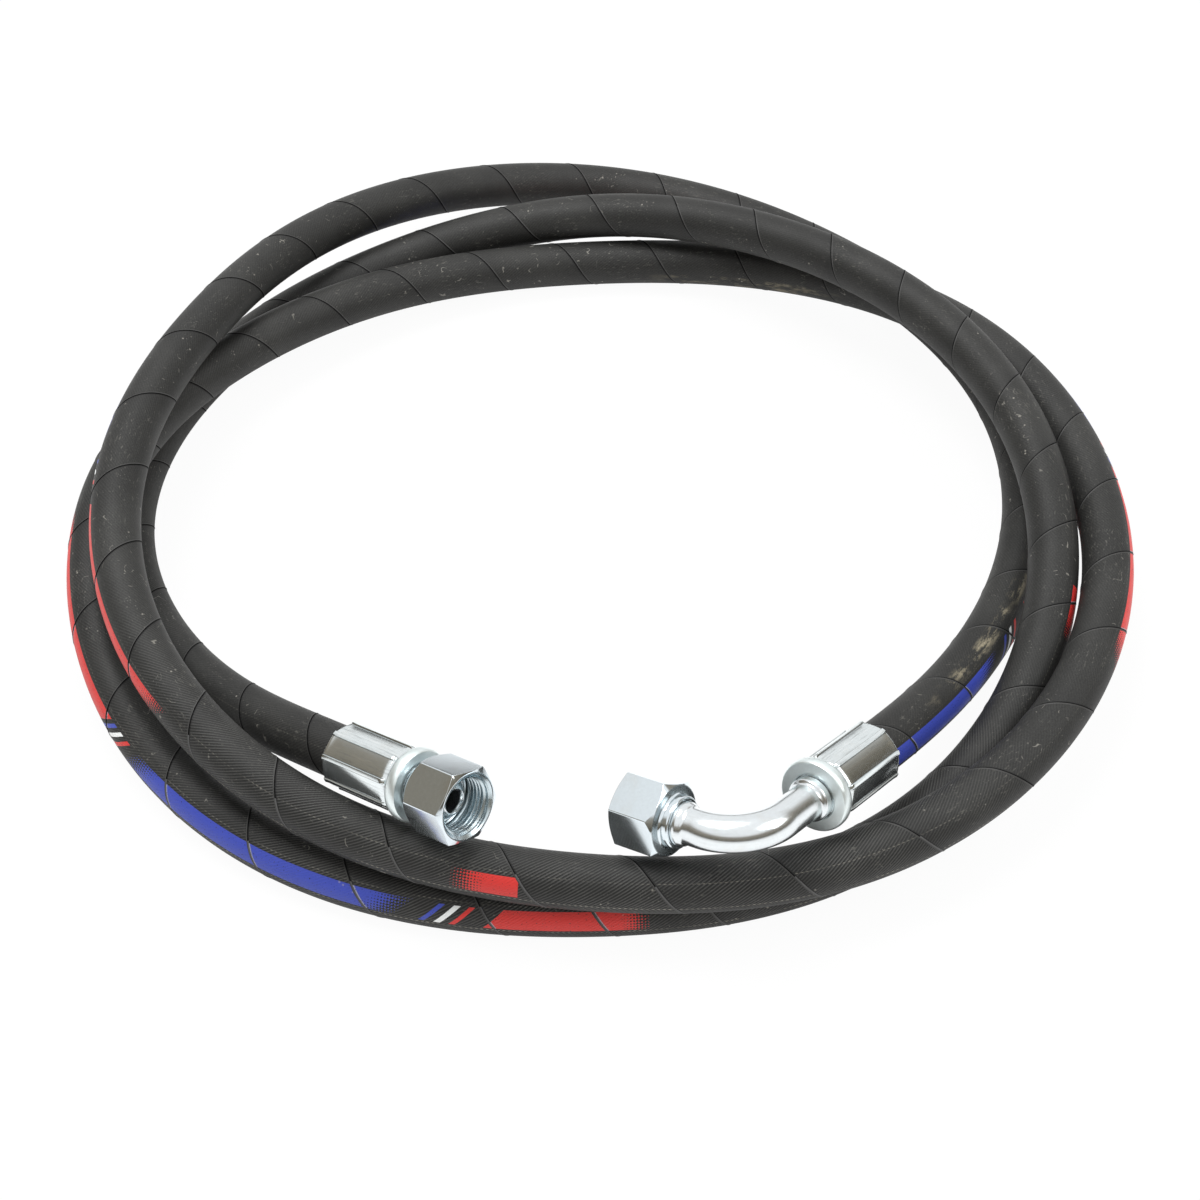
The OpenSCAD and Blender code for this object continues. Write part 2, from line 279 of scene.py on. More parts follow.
def coords(tree):
    return tree.nodes.new("ShaderNodeTexCoord").outputs["Object"]


def noise(tree, vector, scale, detail=3.0, rough=0.55):
    n = tree.nodes.new("ShaderNodeTexNoise")
    tree.links.new(vector, n.inputs["Vector"])
    n.inputs["Scale"].default_value = scale
    n.inputs["Detail"].default_value = detail
    n.inputs["Roughness"].default_value = rough
    return Sock(tree, n.outputs[0])


def cells(tree, vector, scale):
    n = tree.nodes.new("ShaderNodeTexVoronoi")
    tree.links.new(vector, n.inputs["Vector"])
    n.inputs["Scale"].default_value = scale
    return Sock(tree, n.outputs["Distance"])


def uv_pair(tree, layer):
    n = tree.nodes.new("ShaderNodeUVMap")
    n.uv_map = layer
    s = tree.nodes.new("ShaderNodeSeparateXYZ")
    tree.links.new(n.outputs[0], s.inputs[0])
    return Sock(tree, s.outputs[0]), Sock(tree, s.outputs[1]), n.outputs[0]


def vector_of(tree, x, y, z=0.0):
    n = tree.nodes.new("ShaderNodeCombineXYZ")
    for k, val in enumerate((x, y, z)):
        put(tree, n.inputs[k], val)
    return n.outputs[0]


def band(value, a, b, fade_a=0.0, fade_b=0.0):
    """1 between a and b, with the edges faded in and out where a fade is given."""
    up = value.ramp(a, a + fade_a, smooth=False) if fade_a else value > a
    down = value.ramp(b - fade_b, b, 1.0, 0.0, smooth=False) if fade_b else value < b
    return up * down


def all_of(bands):
    total = bands[0]
    for x in bands[1:]:
        total = total.most(x)
    return total


def bump(tree, height, distance, strength=1.0, normal=None):
    n = tree.nodes.new("ShaderNodeBump")
    n.inputs["Strength"].default_value = strength
    n.inputs["Distance"].default_value = distance
    tree.links.new(height.value, n.inputs["Height"])
    if normal is not None:
        tree.links.new(normal, n.inputs["Normal"])
    return n.outputs[0]


# ---------------------------------------------------------------- materials
RED, BLUE, WHITE = (0.62, 0.035, 0.03), (0.045, 0.07, 0.42), (0.8, 0.82, 0.82)
ROUND = 2 * math.pi * HOSE_R * MM

# The ribs that the wrapping cloth leaves in the cover: how many round the hose, how they slope, and its
# yarns. The braid's wires are counted along the hose too.
RIBS_ROUND, RIB_SLOPE, YARNS_ROUND, YARNS_PER_METRE = 50.0, 0.7, 26.0, 900.0
WIRES_PER_METRE = 900.0

# The print, in metres along the hose. It repeats, and each repeat holds the same row of stripes twice, the
# second time moved on by SECOND_ROW, or by a little less in the last repeat. Within BARE_HALF of BARE_AT, the
# row's first red is missing.
LANE_HALF_DEG = 22.5
REPEAT_FROM, REPEAT, SECOND_ROW_FROM, SECOND_ROW = 0.150, 1.396, 0.70, 0.760
LAST_REPEAT_FROM, LAST_REPEAT_LESS = 2.30, 0.0414
BARE_AT, BARE_HALF = 0.90, 0.098
SLANT, FADE = 0.9, 0.014
FIRST_RED, SECOND_RED, BLUE_BLOCK = (0.194, 0.289), (0.4495, 0.540), (0.318, 0.432)
RED_BARS = (0.2982, 0.3001), (0.4365, 0.4385)
BLUE_BARS = (0.3081, 0.3100), (0.4453, 0.4473)
WHITE_BARS = (0.3029, 0.3051), (0.4410, 0.4430)
SMALL_RED, SMALL_RED_FADE, SMALL_RED_FIRST_SHIFT = (0.774, 0.7965), 0.012, 0.0135
SCREEN_DOT, FILM_DASH = 0.00105, 0.00175
FILM_ABOVE_DEG, FILM_BELOW_DEG = 31.0, 27.5


def ripple(x):
    """A cosine wave from -1 to 1, lowest where x is whole."""
    return ((x.fract() - 0.5) * (2 * math.pi)).cosine()


def rubber_cover():
    """Black cover: cloth-wrap impression, wrap edge, printed lane, chalky specks. UV 'place' is metres along
    and metres round from the lane's middle, 'wrap' counts turns of the wrapping tape and says how crisp the
    ribs are."""
    m, tree, bsdf = new_material("cover_rubber")
    u, v, uvec = uv_pair(tree, "place")
    turns, crisp, _ = uv_pair(tree, "wrap")

    # Ribs square to the wrap's edge, and the fainter cross yarns
    rib = ripple(v / ROUND * RIBS_ROUND + u * (RIBS_ROUND / ROUND * RIB_SLOPE)) * 0.5 + 0.5
    yarn = ripple(u * YARNS_PER_METRE - v / ROUND * YARNS_ROUND) * 0.5 + 0.5
    rib_strength = noise(tree, uvec, 55.0, 2.0).ramp(0.35, 0.65, 0.45, 1.0) * crisp

    # Printed lane: solid stripes whose ends fade out through the dots of a screen
    half = LANE_HALF_DEG / 360 * ROUND
    in_lane = v.absolute().ramp(half - 0.00003, half + 0.00003, 1.0, 0.0, smooth=False)
    p = ((u - REPEAT_FROM) / REPEAT).fract() * REPEAT + REPEAT_FROM
    w = p + v * SLANT - (p > SECOND_ROW_FROM) * ((u > LAST_REPEAT_FROM) * -LAST_REPEAT_LESS + SECOND_ROW)
    past_bare = (u - BARE_AT).absolute().ramp(BARE_HALF, BARE_HALF + 0.01, smooth=False)
    red = all_of([
        band(w, *FIRST_RED, FADE) * past_bare,
        *(band(w, *bar) for bar in RED_BARS),
        band(w, *SECOND_RED, 0, FADE),
        band(p - (u < 1.0) * SMALL_RED_FIRST_SHIFT, *SMALL_RED, 0, SMALL_RED_FADE),
    ])
    blue = all_of([band(w, *BLUE_BLOCK, FADE, FADE), *(band(w, *bar) for bar in BLUE_BARS)])
    white = all_of([band(w, *bar) for bar in WHITE_BARS])
    per_dot = 2 * math.pi / SCREEN_DOT
    screen = ((u * per_dot).cosine() + (v * per_dot).cosine()) * 0.24 + 0.5
    worn_ink = noise(tree, uvec, 1500.0, 2.0).ramp(0.30, 0.36)
    red = (red > screen) * in_lane * worn_ink
    blue = (blue > screen) * in_lane * worn_ink
    white = (white > 0.5) * in_lane

    # Edges of the lane: the dotted lines of the transfer film, one on each side
    dash = (u / FILM_DASH).fract() - 0.5
    dash = dash.absolute().ramp(0.12, 0.34, 1.0, 0.12)
    broken = noise(tree, uvec, 75.0, 3.0).ramp(0.36, 0.62, 0.15, 1.0)
    above = (v - FILM_ABOVE_DEG / 360 * ROUND).absolute().ramp(0.00006, 0.00024, 1.0, 0.0)
    below = (v + FILM_BELOW_DEG / 360 * ROUND).absolute().ramp(0.00008, 0.00028, 1.0, 0.0)
    dots = (above * 0.45 + below) * dash * broken * (crisp * 0.6 + 0.25)

    # Dark line in front of the wrapping tape's edge, and the tape's swelling towards it
    turn = turns.fract()
    edge_line = turn.ramp(0.974, 0.979)
    step = turn.power(3.0)

    # Chalk and dust
    haze = noise(tree, uvec, 26.0, 5.0, 0.62).ramp(0.40, 0.74)
    grit = noise(tree, uvec, 1400.0, 3.0, 0.7).ramp(0.38, 0.62, smooth=False)
    patches = noise(tree, uvec, 90.0, 2.0)
    grains = cells(tree, uvec, 330.0).ramp(0.07, 0.17, 1.0, 0.0) * patches.ramp(0.56, 0.68)
    flecks = cells(tree, uvec, 850.0).ramp(0.09, 0.22, 1.0, 0.0) * patches.ramp(0.50, 0.66)
    scuff = noise(tree, vector_of(tree, u, v * 3.2), 300.0, 3.0, 0.7).ramp(0.56, 0.72)
    scuff = scuff * noise(tree, uvec, 38.0, 2.0).ramp(0.46, 0.62)
    hair = (noise(tree, uvec, 130.0, 1.5, 0.5) - 0.5).absolute().ramp(0.002, 0.010, 1.0, 0.0)
    hair = hair * noise(tree, uvec, 210.0, 2.0).ramp(0.58, 0.64)
    hair = hair * noise(tree, uvec, 24.0, 2.0).ramp(0.48, 0.60)
    # Pale dust on the hose before the elbow fitting, and on the inside of the second turn
    dusty = all_of([
        band(u, 3.055, 3.160, 0.02, 0.03) * band(v, 0.0050, 0.0115, 0.0025, 0.0025),
        band(u, 1.595, 1.690, 0.03, 0.03) * band(v.absolute(), 0.0255, 0.0300, 0.001) * 0.7,
    ])
    dust = noise(tree, vector_of(tree, u * 0.35, v * 1.3), 210.0, 6.0, 0.78).ramp(0.46, 0.62)
    dust = dust * noise(tree, uvec, 75.0, 2.0).ramp(0.40, 0.54) * dusty

    dark, light = (0.0110, 0.0110, 0.0104), (0.038, 0.038, 0.0355)
    colour = mix(tree, dark, light, (haze * 0.45 + grit * 0.48).clamped())
    # Painted shade: the ribs' grooves are darkened where the ribs are crisp
    colour = mix(tree, colour, (0.006, 0.006, 0.006), (rib * -1.0 + 1.0) * crisp * 0.75)
    # Painted highlight: the ribs' tops are lightened, more where the ribs stand out
    colour = mix(tree, colour, (0.12, 0.12, 0.113), rib.power(3.0) * rib_strength * 0.5)
    colour = mix(tree, colour, (0.15, 0.146, 0.128), scuff * 0.55)
    colour = mix(tree, colour, (0.16, 0.156, 0.138), flecks * 0.6)
    colour = mix(tree, colour, (0.26, 0.25, 0.22), hair * 0.7)
    colour = mix(tree, colour, (0.33, 0.29, 0.20), dust * 0.8)
    colour = mix(tree, colour, (0.008, 0.008, 0.008), turn.power(6.0) * 0.40)
    colour = mix(tree, colour, RED, red * 0.96)
    colour = mix(tree, colour, BLUE, blue * 0.96)
    colour = mix(tree, colour, WHITE, white)
    colour = mix(tree, colour, (0.40, 0.38, 0.32), (dots * 0.75).clamped())
    colour = mix(tree, colour, (0.42, 0.40, 0.35), grains * 0.5)
    ink = red.most(blue).most(white)
    line_colour = mix(tree, (0.005, 0.005, 0.005), (0.30, 0.30, 0.34), ink)
    colour = mix(tree, colour, line_colour, edge_line * 0.85)
    put(tree, bsdf.inputs["Base Color"], colour)
    put(tree, bsdf.inputs["Roughness"], noise(tree, uvec, 70.0, 3.0) * 0.16 + 0.50 - ink * 0.12)
    bsdf.inputs["Specular IOR Level"].default_value = 0.34
    quiet = in_lane * -0.55 + 1.0
    height = (rib * 0.8 + yarn * 0.2) * quiet * rib_strength
    normal = bump(tree, height, 0.00020, 1.0)
    normal = bump(tree, step, 0.00012, 0.8, normal)
    normal = bump(tree, noise(tree, uvec, 620.0, 3.0, 0.7), 0.00005, 0.6, normal)
    tree.links.new(normal, bsdf.inputs["Normal"])
    return m


def plain_rubber(name, colour, rough, shine=0.5):
    m, tree, bsdf = new_material(name)
    bsdf.inputs["Specular IOR Level"].default_value = shine
    vec = coords(tree)
    cloud = noise(tree, vec, 240.0, 4.0)
    put(tree, bsdf.inputs["Base Color"], mix(tree, colour, tuple(c * 1.7 for c in colour), cloud))
    put(tree, bsdf.inputs["Roughness"], cloud * 0.2 + rough)
    tree.links.new(bump(tree, noise(tree, vec, 1500.0, 3.0), 0.00006, 0.5), bsdf.inputs["Normal"])
    return m


def braid():
    m, tree, bsdf = new_material("braid_wire")
    u, v, _ = uv_pair(tree, "place")
    strand = (ripple((u + v) * WIRES_PER_METRE) + ripple((u - v) * WIRES_PER_METRE)) * 0.5
    colour = mix(tree, (0.30, 0.28, 0.22), (0.62, 0.60, 0.52), strand.ramp(-1, 1))
    put(tree, bsdf.inputs["Base Color"], colour)
    bsdf.inputs["Metallic"].default_value = 1.0
    bsdf.inputs["Roughness"].default_value = 0.38
    tree.links.new(bump(tree, strand, 0.0002, 0.8), bsdf.inputs["Normal"])
    return m


def zinc(name, base, rough, grain, smear=0.0, creases=False):
    """Bright zinc plating: bluish, with a fine grain, warmer patches, small dull spots and, where asked for,
    lengthwise smears and painted shade as dark lines in the creases beside the crimp's ridges. UV 'turned' is
    metres along the piece's own line and metres round it at the crimp's radius."""
    m, tree, bsdf = new_material(name)
    vec = coords(tree)
    fine = noise(tree, vec, 900.0, 4.0, 0.6)
    roughness = fine * 0.04 + rough
    normal = None
    colour = mix(tree, base, tuple(min(1.0, c * 1.03) for c in base), fine.ramp(0.40, 0.60))
    colour = mix(tree, colour, (0.60, 0.55, 0.45), noise(tree, vec, 70.0, 3.0, 0.6).ramp(0.52, 0.80) * 0.25)
    if smear:
        lengthwise, around, _ = uv_pair(tree, "turned")
        streak = noise(tree, vector_of(tree, lengthwise * 0.16, around * 1.5), 520.0, 4.0, 0.62)
        colour = mix(tree, colour, tuple(c * 0.55 for c in base), streak.ramp(0.50, 0.72) * smear)
        colour = mix(tree, colour, (0.93, 0.95, 0.95), streak.ramp(0.46, 0.30) * smear)
        roughness = streak.ramp(0.45, 0.75) * (smear * 0.15) + roughness
        normal = bump(tree, streak, 0.00005, 0.5 * smear)
    spot = cells(tree, vec, 420.0).ramp(0.04, 0.11, 1.0, 0.0) * noise(tree, vec, 120.0, 2.0).ramp(0.58, 0.68)
    colour = mix(tree, colour, (0.24, 0.22, 0.19), spot * 0.35)
    if creases:
        # Painted shade: a dark line in the crease at each ridge's foot, along the crimped length
        beside = ((around / (CRIMP_R * MM * math.pi / 4) + 0.5).fract() - 0.5).absolute()
        crease_shade = (beside - CREASE_FROM_RIDGE).absolute().ramp(0.004, 0.022, 1.0, 0.0)
        crease_shade = crease_shade * (lengthwise < CREASE_END)
        colour = mix(tree, colour, (0.07, 0.065, 0.055), crease_shade * 0.7)
    put(tree, bsdf.inputs["Base Color"], colour)
    bsdf.inputs["Metallic"].default_value = 1.0
    put(tree, bsdf.inputs["Roughness"], roughness)
    tree.links.new(bump(tree, fine, 0.00002, 0.2 * grain, normal), bsdf.inputs["Normal"])
    return m


# The crimped part's radius in mm. Its creases, which carry painted shade, lie this part of a flat's pitch
# from each ridge's middle, and end this far along in metres.
CRIMP_R, CREASE_FROM_RIDGE, CREASE_END = 11.1, 0.104, 0.0293
COVER = rubber_cover()
SEAM_SLOPE = plain_rubber("cover_wrap_slope", (0.026, 0.026, 0.025), 0.52)
SEAM_EDGE = plain_rubber("cover_wrap_edge", (0.004, 0.004, 0.004), 0.6, 0.05)
# Lit copy of the wrap edge's dark wall: a painted highlight
SEAM_PAINTED_LIT = plain_rubber("cover_wrap_painted_lit", (0.055, 0.055, 0.055), 0.5)
TUBE = plain_rubber("tube_rubber", (0.012, 0.012, 0.012), 0.45)
LAYER = plain_rubber("interlayer_rubber", (0.03, 0.028, 0.026), 0.6)
BRAID = braid()
ZINC = zinc("zinc_steel", (0.76, 0.80, 0.82), 0.18, 0.5, 0.12)
ZINC_NUT = zinc("zinc_nut", (0.72, 0.79, 0.83), 0.10, 0.15)
# Darker zinc for the nut's rear face: its base colour holds a painted dark reflection
ZINC_DARK_REFLECTION = zinc("zinc_dark_reflection", (0.36, 0.41, 0.43), 0.25, 0.3)
ZINC_THREAD = zinc("zinc_thread", (0.60, 0.69, 0.73), 0.24, 0.1)
ZINC_FERRULE = zinc("zinc_ferrule", (0.73, 0.78, 0.79), 0.13, 0.5, 0.55, True)
ZINC_COLLAR = zinc("zinc_collar", (0.80, 0.87, 0.87), 0.38, 0.3)


# ---------------------------------------------------------------- hose
def tube_layer(name, outer_r, inner_r, route, sides, material):
    """A hose layer with its wall: the outside, the inside and both cut ends. The cover, which reaches the
    floor, is pressed flat there, and its inside keeps the wall's thickness."""
    n = len(route.s)
    j = np.arange(sides + 1)
    phi = lane(route.s)[:, None] + 180.0 + 360.0 * j[None, :] / sides
    i = np.arange(n)[:, None] * np.ones((1, sides + 1), int)
    outer = route.out(i, phi, np.full(phi.shape, outer_r))
    inner = route.out(i, phi, np.full(phi.shape, inner_r))
    if outer[..., 2].min() < 0.01:
        inner[..., 2] = np.maximum(inner[..., 2], outer_r - inner_r)
    grid_outer = outer[:, :sides].reshape(-1, 3)
    grid_inner = inner[:, :sides].reshape(-1, 3)
    base = n * sides
    fo = grid_faces(n, sides, close_cols=True)
    fi = fo[:, ::-1] + base
    k = np.arange(sides)
    k2 = (k + 1) % sides
    start = np.stack([k, k + base, k2 + base, k2], 1)[:, ::-1]
    end = start[:, ::-1] + (n - 1) * sides
    # Each face corner's UVs. Across the closing column the angle runs on past the first's.
    v_of = (j / sides - 0.5) * 2 * math.pi * outer_r * MM
    turn = wraps(route.s)[:, None] - phi / 360.0
    u_of = mark_place(route.s) * MM
    crisp = crispness(route.s)
    faces = np.concatenate([fo, fi, start, end])
    rows, cols = (faces % base) // sides, faces % sides
    closing = (cols.max(1) - cols.min(1)) > sides / 2
    cols = np.where(closing[:, None] & (cols == 0), sides, cols)
    place_uv = np.stack([u_of[rows], v_of[cols]], -1)
    wrap_uv = np.stack([turn[rows, cols], crisp[rows]], -1)
    obj = new_mesh(
        name, np.concatenate([grid_outer, grid_inner]), faces.tolist(), material, 50,
        {"place": place_uv.reshape(-1, 2), "wrap": wrap_uv.reshape(-1, 2)},
    )
    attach(obj, "hose")
    return obj


# Section of the wrap's edge in mm: how far across its own line, and how far out from the cover. The first
# three stretches are the line before it and its wall, and the rest slopes down onto the cover.
WALL_STRETCHES = 3
# The line is pale this far round from the lane's middle, in degrees, where the ribs are crisp: a painted
# highlight where its wall faces the light
PAINTED_LIT_FROM, PAINTED_LIT_TO = -110.0, 24.0
WRAP_EDGE = [(-0.44, -0.05), (-0.40, 0.035), (-0.06, 0.035), (0.02, 0.14), (0.14, 0.15), (0.52, -0.04)]


def wrap_edge():
    """The wrapping tape's raised edge over its turn before: one helix round the whole hose."""
    route = Route(0.75)
    bare_end = HOSE_IN_FERRULE + 0.5
    i = np.flatnonzero((route.s > bare_end) & (route.s < LENGTH - bare_end))
    s = route.s[i]
    phi = 360.0 * wraps(s)
    pitch = np.gradient(s) / np.gradient(wraps(s))
    lean = np.arctan2(pitch, 2 * math.pi * HOSE_R)
    rows = []
    for across, height in WRAP_EDGE:
        ds = across * np.cos(lean)
        dphi = -np.degrees(across * np.sin(lean) / HOSE_R)
        c = route.c[i] + route.t[i] * ds[:, None]
        a = np.radians(phi + dphi)
        r = HOSE_R + height
        q = c + r * (np.cos(a)[:, None] * route.u[i] + np.sin(a)[:, None] * route.v[i])
        q[:, 2] = np.maximum(q[:, 2], 0.0)
        rows.append(q)
    verts = np.stack(rows, 1).reshape(-1, 3)
    columns = len(WRAP_EDGE)
    faces = grid_faces(len(i), columns)
    from_lane = (phi - lane(s) + 180.0) % 360.0 - 180.0
    pale = (from_lane < PAINTED_LIT_TO) & (from_lane > PAINTED_LIT_FROM) & (crispness(s) > 0.5)
    wall = (faces % columns).min(1) < WALL_STRETCHES
    # Within that range, where the ribs are crisp, the wall takes the pale material: painted light
    slots = np.where(wall, 1 + pale[faces[:, 0] // columns], 0)
    seams = [SEAM_SLOPE, SEAM_EDGE, SEAM_PAINTED_LIT]
    obj = new_mesh("cover_wrap_edge", verts, faces.tolist(), seams, 40, slots=slots)
    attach(obj, "hose")
    return obj


cover = tube_layer("hose_cover", HOSE_R, 7.2, FINE, 48, COVER)
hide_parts("outer_cover")
COARSE = Route(9.0)
LAYERS = [
    ("hose_outer_braid", "outer_wire_braid", 7.15, 6.75, BRAID, "braid_wire"),
    ("hose_interlayer", "braid_interlayer", 6.7, 6.45, LAYER, "tube_rubber"),
    ("hose_inner_braid", "inner_wire_braid", 6.4, 5.95, BRAID, "braid_wire"),
    ("hose_inner_tube", "inner_tube", 5.9, 4.75, TUBE, "tube_rubber"),
]
layers = []
for name, node, outer_r, inner_r, material, slot in LAYERS:
    layer = tube_layer(name, outer_r, inner_r, COARSE, 14, material)
    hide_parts(node)
    layers.append(layer)
seam = wrap_edge()


# ---------------------------------------------------------------- fittings
def about_z(t):
    return np.array([[math.cos(t), -math.sin(t), 0], [math.sin(t), math.cos(t), 0], [0, 0, 1]])


def standing(point, direction, roll=0.0):
    """part.scad's stand(): columns are the local x, y and z directions, with the point."""
    dx, dy, dz = direction
    b = math.acos(dz)
    ry = np.array([[math.cos(b), 0, math.sin(b)], [0, 1, 0], [-math.sin(b), 0, math.cos(b)]])
    return about_z(math.atan2(dy, dx)) @ ry @ about_z(math.radians(roll)), np.array(point)


def straight_line(basis):
    m, p = basis
    def at(t):
        t = np.asarray(t, float)
        one = np.ones(t.shape + (1,))
        return p + t[..., None] * m[:, 2], one * m[:, 0], one * m[:, 1]
    return at


def second_leg(basis, corner, roll):
    """The line past the elbow's corner, along the first one's local x."""
    m, p = basis
    quarter = np.array([[0, 0, 1.0], [0, 1, 0], [-1.0, 0, 0]])
    return m @ quarter @ about_z(math.radians(roll)), p + corner * m[:, 2]


def bent_line(basis, corner, bend):
    """Along the first leg, round the bend and along the second leg. Past the bend, the distance counts from
    the first leg's start along the tube's own line."""
    m, p = basis
    first = corner - bend
    arc = bend * math.pi / 2
    def at(t):
        t = np.asarray(t, float)
        a = np.clip((t - first) / bend, 0, math.pi / 2)
        before = np.minimum(t, first)
        after = np.maximum(t - first - arc, 0)
        x = bend * (1 - np.cos(a)) + after
        z = before + bend * np.sin(a)
        c = p + x[..., None] * m[:, 0] + z[..., None] * m[:, 2]
        e1 = np.cos(a)[..., None] * m[:, 0] - np.sin(a)[..., None] * m[:, 2]
        e2 = np.ones(t.shape + (1,)) * m[:, 1]
        return c, e1, e2
    return at


def turned(name, at, profile, angles, material, body, smooth=32, pick=None):
    """A closed turned solid. profile is a loop of (t, r); each may be one number or one for each angle. pick
    gives the number of a face's material by its middle's t and r."""
    n = len(angles)
    ca, sa = np.cos(angles), np.sin(angles)
    rows, outline = [], []
    for t, r in profile:
        t = np.broadcast_to(np.asarray(t, float), (n,))
        r = np.broadcast_to(np.asarray(r, float), (n,))
        c, e1, e2 = at(t)
        rows.append(c + (r * ca)[:, None] * e1 + (r * sa)[:, None] * e2)
        outline.append((t.mean(), r.mean()))
    verts = np.stack(rows).reshape(-1, 3)
    outline = np.array(outline)
    faces = grid_faces(len(profile), n, close_cols=True, close_rows=True)[:, ::-1]
    row, col = faces // n, faces % n
    past = ((col.max(1) - col.min(1)) > n / 2)[:, None] & (col == 0)
    uv = np.stack([outline[row, 0] * MM, (angles[col] + np.where(past, 2 * math.pi, 0)) * CRIMP_R * MM], -1)
    slots = None
    if pick:
        middle = outline[row].mean(1)
        slots = pick(middle[:, 0], middle[:, 1]).astype(int)
    obj = new_mesh(name, verts, faces.tolist(), material, smooth, {"turned": uv.reshape(-1, 2)}, slots)
    w = obj.modifiers.new("flat_faces", "WEIGHTED_NORMAL")
    w.keep_sharp = True
    w.weight = 100
    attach(obj, body)
    return obj


def even(n):
    return np.arange(n) * 2 * math.pi / n


# As in part.scad: the ferrule and its collar, the nut, the two nipples and how each piece is rolled
FERRULE_LENGTH, CRIMP_END, NECK_END, INNER_STEP = 36.0, 30.0, 31.6, 29.5
RIDGE, DIP, COLLAR_R = 0.6, 0.3, 12.7
NUT_FLATS, NUT_LENGTH, NUT_CORNER_R, SKIRT, SEAT_FROM_MOUTH, MOUTH_BORE = 24.0, 17.5, 0.55, 3.4, 14.07, 6.1
THREAD_PITCH, THREAD_MINOR_R = 1.5, 9.21
NUT_MOUTH, BORE_R, TUBE_R = 57.7, 3.6, 6.25
CORNER, BEND, ELBOW_NUT_MOUTH, ELBOW_ROLL = 72.8, 19.0, 46.3, -71.3
STRAIGHT_FERRULE_ROLL, ELBOW_FERRULE_ROLL = 5.0, -8.0
STRAIGHT_NUT_ROLL, ELBOW_NUT_ROLL = 2.0, 21.0
A = standing(STRAIGHT_MOUTH, STRAIGHT_AXIS)
A_FERRULE = standing(STRAIGHT_MOUTH, STRAIGHT_AXIS, STRAIGHT_FERRULE_ROLL)
A_NUT = standing(STRAIGHT_MOUTH, STRAIGHT_AXIS, STRAIGHT_NUT_ROLL)
B_FERRULE = standing(ELBOW_MOUTH, ELBOW_AXIS, ELBOW_FERRULE_ROLL)
B_ROLLED = standing(ELBOW_MOUTH, ELBOW_AXIS, ELBOW_ROLL)
B_NUT = second_leg(B_ROLLED, CORNER, ELBOW_NUT_ROLL)


def ferrule(name, basis, node):
    """Crimped shell: eight slightly domed flats, flat-topped ridges between, a neck and a round collar."""
    # A ridge's section: degrees from its middle, and height in parts of RIDGE
    offsets = [-4.7, -4.35, -3.75, -3.35, -1.2, 1.2, 3.35, 3.75, 4.35, 4.7]
    heights = [0, 0.1, 0.52 / 0.6, 1.0, 0.62 / 0.6, 0.62 / 0.6, 1.0, 0.52 / 0.6, 0.1, 0]
    flats, foot = 8, offsets[-1]
    every = 360.0 / flats
    angles, flat_r, ridge = [], [], []
    for k in range(flats):
        for o, h in zip(offsets, heights):
            angles.append(k * every + o)
            flat_r.append(CRIMP_R)
            ridge.append(h * RIDGE)
        for o in np.linspace(foot, every - foot, 14)[1:-1]:
            t = (o - foot) / (every - 2 * foot)
            angles.append(k * every + o)
            flat_r.append(CRIMP_R - 4 * DIP * t * (1 - t))
            ridge.append(0.0)
    angles, flat_r, ridge = np.radians(angles), np.array(flat_r), np.array(ridge)
    loop = [(0.0, 9.8), (0.0, flat_r - 0.15 + ridge * 0.5), (0.15, flat_r + 0.08 + ridge * 0.8)]
    for t in (0.45, 1.2, 2.2, 3.4, 5, 9, 14, 19, 23, 26, 27.6):
        loop.append((t, flat_r + ridge + 0.16 * math.exp(-((t / 1.5) ** 2))))
    loop += [(28.5, flat_r - 0.03 + ridge * 0.95), (29.2, flat_r - 0.16 + ridge * 0.8)]
    loop += [(29.7, flat_r - 0.42 + ridge * 0.6)]
    loop += [(CRIMP_END, flat_r - 0.75 + ridge * 0.4), (CRIMP_END + 0.25, 10.1), (CRIMP_END + 0.6, 9.95)]
    loop += [(NECK_END - 0.5, 9.95), (NECK_END - 0.12, 10.3)]
    mid, half = (NECK_END + FERRULE_LENGTH) / 2, (FERRULE_LENGTH - NECK_END) / 2
    for a in range(-80, 81, 16):
        c = math.radians(a)
        loop.append((mid + half * math.sin(c), COLLAR_R - 0.9 + 0.9 * math.cos(c) ** 0.8))
    loop += [(FERRULE_LENGTH, 11.6), (FERRULE_LENGTH, 9.2), (FERRULE_LENGTH - 0.02, 8.3)]
    loop += [(FERRULE_LENGTH - 0.3, 7.9), (FERRULE_LENGTH - 0.3, 6.35), (INNER_STEP, 6.35), (INNER_STEP, 9.0)]
    loop += [(4.0, 9.0), (1.2, 9.6)]
    obj = turned(
        name, straight_line(basis), loop, angles, [ZINC_FERRULE, ZINC_COLLAR], "hose", smooth=30,
        pick=lambda t, r: (t > NECK_END - 0.2) & (r > 7.8),
    )
    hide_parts(node)
    return obj


def hexagon(flats, corner_r):
    """Angles and radii of a hexagon with rounded corners; corners at multiples of 60 degrees."""
    per_side = 10
    dc = (flats / 2 - corner_r) / math.cos(math.radians(30))
    limit = math.degrees(math.atan2(corner_r * 0.5, dc + corner_r * math.cos(math.radians(30))))
    angles, radii = [], []
    for k in range(6):
        for o in np.linspace(-limit, limit, 7):
            d = math.radians(o)
            angles.append(60 * k + o)
            radii.append(dc * math.cos(d) + math.sqrt(max(corner_r**2 - (dc * math.sin(d)) ** 2, 0)))
        for o in np.linspace(limit, 60 - limit, per_side + 2)[1:-1]:
            angles.append(60 * k + o)
            radii.append(flats / 2 / math.cos(math.radians(o - 30)))
    return np.radians(angles), np.array(radii)


